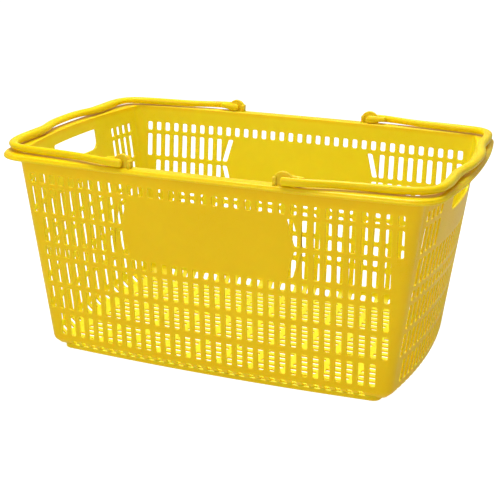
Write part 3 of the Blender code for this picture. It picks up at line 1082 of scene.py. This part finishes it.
SCATTER_SHARE = 0.55
SCATTER_COLOUR = (1.0, 0.5, 0.05)     # how far each colour travels, times the depth
BASKET_SCATTER = 0.007    # depth in metres
EAR_SCATTER = 0.002
HANDLE_SCATTER = 0.003
PLASTIC_IOR = 1.3         # below polypropylene's own, which mirrors too much of the studio

THROUGH_LIGHT_FACING = (0.0, -0.06)           # dot product of normal and place, in metres, for the painted through-light
THROUGH_LIGHT_TOP = (TOP - 0.1, TOP - 0.6)    # heights between which the painted through-light sets in
FLOOR_LEVEL = (0.03, 0.01)            # metres up, between which the floor's painted light sets in
FLOOR_FACING = (0.1, 0.6)             # how far a face has to look up for it

CLOUD_SHADE = 0.025       # how much the large and the small unevenness change the shade
STREAK_SHADE = 0.012
WORN_AND_HIGHLIT_EDGE = (0.52, 0.6)   # pointiness at which an edge begins to take wear and painted highlight, and takes them fully
SCUFFS = (0.42, 0.62)     # values of the scratch noise between which the wear and painted highlight grow
LEAST_SCUFF = 0.25        # share of the wear and painted highlight that lies between the scratches
WEAR_AND_HIGHLIGHT = 0.45               # share of the pale colour, wear and painted highlight, on a fully worn edge
WEAR_ROUGHNESS = 0.35     # added to the roughness by full wear
ROUGHNESS = (0.27, 0.37)
CLOUD_ROUGHNESS = 0.03
BUMP_STRENGTH = 0.35
BUMP_HEIGHT = 0.0001      # metres
GRAIN_SHARE = 0.25        # of the grain in the bump, beside the streaks


def moulded_plastic(name, outer, inner, scatter_depth, seed):
    """Glossy polypropylene: uneven pigment, a faint orange peel, worn edges that also carry a
    painted highlight. The inner colour is painted light on faces towards the middle, and the
    floor's top gets a painted light of its own.

    The seed moves the noises, so that no two materials share their pattern.
    """
    material = bpy.data.materials.new(name)
    material.use_nodes = True
    nodes = Nodes(material.node_tree)
    shader = material.node_tree.nodes["Principled BSDF"]
    geometry = nodes.add("ShaderNodeNewGeometry")
    coordinates = nodes.add("ShaderNodeTexCoord")
    mapping = nodes.add("ShaderNodeMapping")
    mapping.inputs["Location"].default_value = (seed, 2 * seed, 3 * seed)
    nodes.link(coordinates.outputs["Object"], mapping.inputs["Vector"])
    place = mapping.outputs["Vector"]

    # Faces that look towards the middle of the basket, below the rim, take the inner colour:
    # painted light that stands in for the light coming through the walls.
    flat = nodes.add("ShaderNodeVectorMath", operation="MULTIPLY")
    nodes.link(coordinates.outputs["Object"], flat.inputs[0])
    flat.inputs[1].default_value = (1, 1, 0)
    towards = nodes.add("ShaderNodeVectorMath", operation="DOT_PRODUCT")
    nodes.link(coordinates.outputs["Normal"], towards.inputs[0])
    nodes.link(flat.outputs["Vector"], towards.inputs[1])
    height = nodes.add("ShaderNodeSeparateXYZ")
    nodes.link(coordinates.outputs["Object"], height.inputs["Vector"])
    inside = nodes.math(
        "MULTIPLY",
        nodes.ramp(towards.outputs["Value"], *THROUGH_LIGHT_FACING, 0.0, 1.0),
        nodes.ramp(height.outputs["Z"], THROUGH_LIGHT_TOP[0] * P, THROUGH_LIGHT_TOP[1] * P, 0.0, 1.0),
    )

    # The top of the floor is painted brighter and paler: painted light on the faces that look up.
    facing = nodes.add("ShaderNodeSeparateXYZ")
    nodes.link(coordinates.outputs["Normal"], facing.inputs["Vector"])
    low = nodes.ramp(height.outputs["Z"], *FLOOR_LEVEL, 0.0, 1.0)
    level = nodes.ramp(facing.outputs["Z"], *FLOOR_FACING, 0.0, 1.0)
    floor_painted_light = nodes.math("MULTIPLY", low, level)

    clouds = nodes.noise(place, scale=9.0, detail=4.0, distortion=0.6)
    streaks = nodes.noise(place, scale=60.0, detail=5.0, distortion=1.2)
    fine = nodes.noise(place, scale=900.0, detail=3.0)
    grain = nodes.noise(place, scale=2600.0, detail=2.0)
    scratches = nodes.noise(place, scale=140.0, detail=6.0, distortion=2.0)

    # The base colour carries painted light: the inner colour towards the middle, and a paler
    # yellow on the floor's top.
    colour = nodes.mix(floor_painted_light, nodes.mix(inside, outer, inner), FLOOR_PAINTED_LIGHT_YELLOW)
    shade = nodes.math("ADD", nodes.stretch(clouds, -CLOUD_SHADE, CLOUD_SHADE), 1.0)
    shade = nodes.math("ADD", nodes.stretch(streaks, -STREAK_SHADE, STREAK_SHADE), shade)
    tone = nodes.add("ShaderNodeHueSaturation")
    nodes.link(colour, tone.inputs["Color"])
    nodes.link(shade, tone.inputs["Value"])

    # Convex edges turn paler: partly wear, broken up by the scratches, and partly a painted
    # highlight along the edges.
    edge = nodes.ramp(geometry.outputs["Pointiness"], *WORN_AND_HIGHLIT_EDGE, 0.0, 1.0)
    scuffs = nodes.ramp(scratches, *SCUFFS, LEAST_SCUFF, 1.0)
    wear_and_highlight = nodes.math("MULTIPLY", nodes.math("MULTIPLY", edge, scuffs), WEAR_AND_HIGHLIGHT)
    nodes.link(nodes.mix(wear_and_highlight, tone.outputs["Color"], SCUFF_AND_HIGHLIGHT_YELLOW), shader.inputs["Base Color"])

    rough = nodes.math("ADD", nodes.stretch(fine, *ROUGHNESS),
                       nodes.stretch(clouds, -CLOUD_ROUGHNESS, CLOUD_ROUGHNESS))
    rough = nodes.math("ADD", rough, nodes.math("MULTIPLY", wear_and_highlight, WEAR_ROUGHNESS))
    nodes.link(rough, shader.inputs["Roughness"])
    shader.inputs["IOR"].default_value = PLASTIC_IOR
    shader.inputs["Subsurface Weight"].default_value = SCATTER_SHARE
    shader.inputs["Subsurface Radius"].default_value = SCATTER_COLOUR
    shader.inputs["Subsurface Scale"].default_value = scatter_depth

    bump = nodes.add("ShaderNodeBump")
    bump.inputs["Strength"].default_value = BUMP_STRENGTH
    bump.inputs["Distance"].default_value = BUMP_HEIGHT
    relief = nodes.math("ADD", streaks, nodes.math("MULTIPLY", grain, GRAIN_SHARE))
    nodes.link(relief, bump.inputs["Height"])
    nodes.link(bump.outputs["Normal"], shader.inputs["Normal"])
    return material


STUDIO_GREY = (0.35, 0.35, 0.35, 1)
STUDIO_IOR = 1.2
STUDIO_ROUGHNESS = (0.75, 0.85)
STUDIO_GLOW = 0.95        # keeps the studio's floor as white as the backdrop
STUDIO_BOUNCE = 0.55      # the studio floor's share in lighting the basket
STUDIO_MIRRORED = 0.16    # what shines back from the glossy walls


def studio_white():
    """The white of the studio's floor, which glows by a different amount for each kind of ray."""
    material = bpy.data.materials.new("studio_white")
    material.use_nodes = True
    nodes = Nodes(material.node_tree)
    shader = material.node_tree.nodes["Principled BSDF"]
    coordinates = nodes.add("ShaderNodeTexCoord")
    paper = nodes.noise(coordinates.outputs["Object"], scale=3.0, detail=4.0)
    nodes.link(nodes.stretch(paper, *STUDIO_ROUGHNESS), shader.inputs["Roughness"])
    shader.inputs["Base Color"].default_value = STUDIO_GREY
    shader.inputs["IOR"].default_value = STUDIO_IOR
    shader.inputs["Emission Color"].default_value = (1, 1, 1, 1)
    path = nodes.add("ShaderNodeLightPath")
    seen = nodes.math("MULTIPLY", path.outputs["Is Camera Ray"], STUDIO_GLOW)
    unseen = nodes.ramp(path.outputs["Is Glossy Ray"], 0, 1, STUDIO_BOUNCE, STUDIO_MIRRORED)
    nodes.link(nodes.math("MAXIMUM", seen, unseen), shader.inputs["Emission Strength"])
    return material


# ---- stage, light and camera
SKY_STRENGTH = 0.36       # what lights the basket
SKY_SIDES = (1.1, 0.85)   # times as strong from the left and from the right
BACKDROP_STRENGTH = 1.1   # what the camera sees
STUDIO_SIZE = 12.0        # half size of the studio's floor in metres


def make_stage():
    """The studio's floor and the world round it."""
    shape = bmesh.new()
    bmesh.ops.create_grid(shape, x_segments=1, y_segments=1, size=STUDIO_SIZE)
    mesh = bpy.data.meshes.new("studio_floor")
    shape.to_mesh(mesh)
    shape.free()
    floor = bpy.data.objects.new("studio_floor", mesh)
    bpy.context.scene.collection.objects.link(floor)
    mesh.materials.append(studio_white())

    world = bpy.data.worlds.new("studio")
    world.use_nodes = True
    nodes = Nodes(world.node_tree)
    background = world.node_tree.nodes["Background"]
    background.inputs["Color"].default_value = (1, 1, 1, 1)
    path = nodes.add("ShaderNodeLightPath")
    coordinates = nodes.add("ShaderNodeTexCoord")
    direction = nodes.add("ShaderNodeSeparateXYZ")
    nodes.link(coordinates.outputs["Generated"], direction.inputs["Vector"])
    left, right = (SKY_STRENGTH * side for side in SKY_SIDES)
    sky = nodes.ramp(direction.outputs["X"], -1, 1, left, right)
    camera_ray = path.outputs["Is Camera Ray"]
    seen = nodes.math("MULTIPLY", camera_ray, BACKDROP_STRENGTH)
    unseen = nodes.math("MULTIPLY", nodes.math("SUBTRACT", 1.0, camera_ray), sky)
    nodes.link(nodes.math("ADD", seen, unseen), background.inputs["Strength"])
    bpy.context.scene.world = world


# Softboxes: name, place in metres, size in metres, power in watts.
SOFTBOXES = (
    ("key_softbox", (-0.6, -1.9, 1.1), 1.0, 10.0),
    ("top_softbox", (-0.1, 0.1, 1.6), 0.8, 22.0),
)
LIT_POINT = Vector((0, 0, 0.15))        # in metres, where the softboxes point


def make_lights():
    for name, place, size, power in SOFTBOXES:
        light = bpy.data.lights.new(name, "AREA")
        light.shape = "SQUARE"
        light.size = size
        light.energy = power
        holder = bpy.data.objects.new(name, light)
        bpy.context.scene.collection.objects.link(holder)
        turn = (LIT_POINT - Vector(place)).to_track_quat("-Z", "Y")
        holder.matrix_world = Matrix.Translation(place) @ turn.to_matrix().to_4x4()


CAMERA_PLACE = (36.08, -95.96, 43.07)
CAMERA_AZIMUTH = 20.91    # degrees
CAMERA_ELEVATION = 18.60
CAMERA_ROLL = 0.72
CAMERA_LENS = 80.22       # millimetres, as the sensor
CAMERA_SENSOR = 36


def make_camera():
    camera = bpy.data.cameras.new("camera")
    camera.lens = CAMERA_LENS
    camera.sensor_width = CAMERA_SENSOR
    holder = bpy.data.objects.new("camera", camera)
    bpy.context.scene.collection.objects.link(holder)
    turn = (Matrix.Rotation(radians(CAMERA_AZIMUTH), 4, "Z")
            @ Matrix.Rotation(radians(90 - CAMERA_ELEVATION), 4, "X")
            @ Matrix.Rotation(radians(CAMERA_ROLL), 4, "Z"))
    holder.matrix_world = Matrix.Translation(Vector(CAMERA_PLACE) * P) @ turn
    bpy.context.scene.camera = holder


bpy.context.scene.view_settings.view_transform = "Standard"
basket_plastic = moulded_plastic(
    "basket_polypropylene", OUTER_YELLOW, INNER_PAINTED_LIGHT_YELLOW, BASKET_SCATTER, seed=1.7
)
ear_plastic = moulded_plastic(
    "ear_polypropylene", OUTER_YELLOW, OUTER_YELLOW, EAR_SCATTER, seed=2.9
)
handle_plastic = moulded_plastic(
    "handle_polypropylene", HANDLE_YELLOW, HANDLE_YELLOW, HANDLE_SCATTER, seed=4.3
)
make_shell(basket_plastic)
make_foot(basket_plastic)
make_ears(ear_plastic)
make_handle(-1, handle_plastic)
make_handle(1, handle_plastic)
make_stage()
make_lights()
make_camera()
